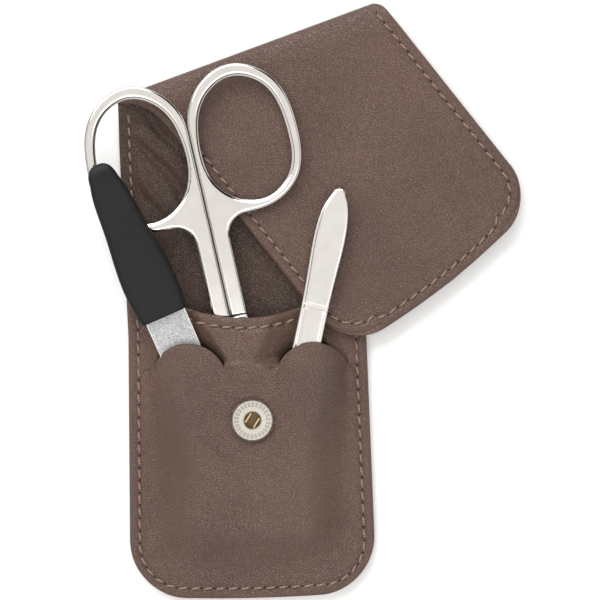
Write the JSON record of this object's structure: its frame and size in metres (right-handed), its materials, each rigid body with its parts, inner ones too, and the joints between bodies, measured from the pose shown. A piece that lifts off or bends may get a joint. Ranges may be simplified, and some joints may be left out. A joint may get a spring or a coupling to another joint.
{
  "type": "manicure set case",
  "caption": "Leather manicure case lying open, its flap folded aside over a soft diagonal roll, with nail scissors, a nail file and tweezers in its slitted pocket.",
  "frame": {"origin": "on the back face that lies on the table, on the case's centreline, level with the press stud", "axes": "+X across the case to the tweezers' side, +Y up the case towards the fold, +Z out of the back towards the tools"},
  "size_m": [0.1037, 0.142, 0.0135],
  "materials": {
    "leather": "fine pebbled grain, satin",
    "lining": "smooth, satin",
    "thread": "waxed thread",
    "nickel": "satin nickel",
    "bronze_wire": "bright wire",
    "polished_steel": "polished nickel plate",
    "grit": "sparkling grit",
    "black_plastic": "matt, fine texture"
  },
  "bodies": {
    "case": {"case_leather": "leather", "case_lining": "lining", "pocket_front": "leather", "body_seam_thread": "thread", "mouth_seam_thread": "thread", "flap_root_thread": "thread", "socket_cap": "nickel", "socket_rivet": "nickel", "socket_spring": "bronze_wire"},
    "flap_corner": {"flap_leather": "leather", "flap_lining": "lining", "flap_seam_thread": "thread", "stud_ball": "nickel", "stud_plate": "nickel"},
    "scissors": {"scissors_right_half": "polished_steel", "scissors_screw": "polished_steel"},
    "scissors_left": {"scissors_left_half": "polished_steel"},
    "nail_file": {"file_blade": "grit", "file_handle": "black_plastic"},
    "tweezers": {"tweezers_rear_arm": "polished_steel", "tweezers_head": "polished_steel"},
    "tweezers_front": {"tweezers_front_arm": "polished_steel"}
  },
  "joints": [
    {"name": "flap_lift", "type": "hinge", "parent": "case", "child": "flap_corner", "pos_m": [0.0214, 0.02, 0.005], "axis": [-0.2317, -0.9728, 0], "range_deg": [0, 100]},
    {"name": "scissors_slide", "type": "slide", "parent": "case", "child": "scissors", "axis": [-0.1956, 0.9789, 0.0599], "range_m": [-0.001, 0.052]},
    {"name": "scissors_open", "type": "hinge", "parent": "scissors", "child": "scissors_left", "pos_m": [-0.00283, 0.0196, 0.00456], "axis": [0.0117, -0.0587, 0.9982], "range_deg": [0, 20]},
    {"name": "file_slide", "type": "slide", "parent": "case", "child": "nail_file", "axis": [-0.3758, 0.9208, 0.1045], "range_m": [-0.004, 0.05]},
    {"name": "tweezers_slide", "type": "slide", "parent": "case", "child": "tweezers", "axis": [0.2315, 0.9716, 0.0499], "range_m": [-0.001, 0.05]},
    {"name": "tweezers_squeeze", "type": "hinge", "parent": "tweezers", "child": "tweezers_front", "pos_m": [0.02091, 0.04464, 0.00845], "axis": [0.9728, -0.2317, 0], "range_deg": [0, 1.1], "stiffness_Nm_per_rad": 0.02, "springref_deg": -2.86}
  ]
}
